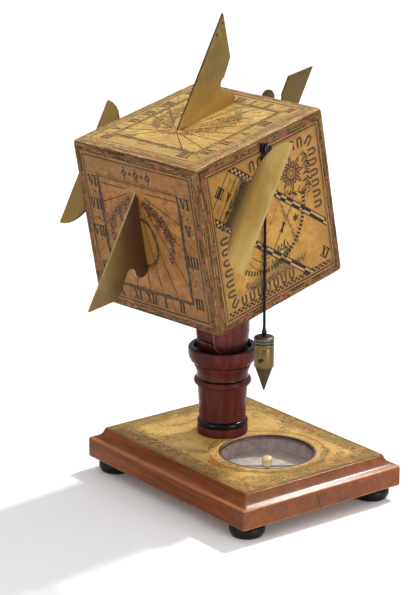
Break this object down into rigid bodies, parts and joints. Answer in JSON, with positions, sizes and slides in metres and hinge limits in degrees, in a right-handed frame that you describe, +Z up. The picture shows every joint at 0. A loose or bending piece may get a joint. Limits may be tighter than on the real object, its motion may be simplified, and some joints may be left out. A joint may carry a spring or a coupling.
{
  "type": "polyhedral sundial",
  "caption": "Papered wooden cube with a dial and brass gnomon on five faces, tilting on a turned column over a coved plinth with a compass, with a plumb line to set its lean.",
  "frame": {"origin": "middle of the plinth's footprint, on the ground under the feet", "axes": "+Z up, +X along the plinth's long side from the column to the compass, +Y towards the dials' north"},
  "size_m": [0.1255, 0.1327, 0.2068],
  "materials": {
    "walnut": "polished, worn along the edges",
    "ebonised": "black stain, satin",
    "base_paper": "aged and varnished print",
    "lining": "matt",
    "card": "matt",
    "steel": "tarnished",
    "glass": "clear",
    "brass": "old lacquer, brushed",
    "mahogany": "french polish, glossy",
    "pine": "bare, aged",
    "dial_paper": "aged and varnished print",
    "iron": "blackened",
    "dark_brass": "tarnished",
    "cord": "waxed thread"
  },
  "bodies": {
    "base": {"plinth": "walnut", "plinth_paper": "base_paper", "foot_front_west": "ebonised", "foot_front_east": "ebonised", "foot_back_west": "ebonised", "foot_back_east": "ebonised", "compass_lining": "lining", "compass_card": "card", "compass_pivot": "steel", "compass_glass": "glass", "glass_ring": "brass", "column": "mahogany"},
    "head": {"fork_head": "mahogany", "tilt_pin": "brass"},
    "cube": {"tongue": "mahogany", "bottom_board": "pine", "top_board": "pine", "south_board": "pine", "north_board": "pine", "east_board": "pine", "west_board": "pine", "top_paper": "dial_paper", "south_paper": "dial_paper", "north_paper": "dial_paper", "east_paper": "dial_paper", "west_paper": "dial_paper", "top_gnomon": "brass", "south_gnomon": "brass", "north_gnomon": "brass", "east_gnomon": "brass", "west_gnomon": "brass", "plumb_peg": "iron"},
    "plumb": {"cord_loop": "cord", "plumb_cord": "cord", "bob_eye": "iron", "bob_cap": "steel", "bob_body": "brass", "bob_tip": "dark_brass"},
    "needle": {"compass_needle": "steel", "needle_cap": "brass"}
  },
  "joints": [
    {"name": "head_swivel", "type": "hinge", "parent": "base", "child": "head", "pos_m": [-0.0154, 0.0011, 0.0574], "axis": [0, 0, 1], "continuous": true},
    {"name": "cube_tilt", "type": "hinge", "parent": "head", "child": "cube", "pos_m": [-0.0154, 0.0011, 0.0808], "axis": [0.9934, 0.1149, 0], "range_deg": [-41, 19]},
    {"name": "plumb_swing", "type": "hinge", "parent": "cube", "child": "plumb", "pos_m": [0.02549, -0.00862, 0.15778], "axis": [0.9934, 0.1149, 0], "range_deg": [-29, 41]},
    {"name": "needle_spin", "type": "hinge", "parent": "base", "child": "needle", "pos_m": [0.017, 0.0005, 0.0164], "axis": [0, 0, 1], "continuous": true}
  ]
}
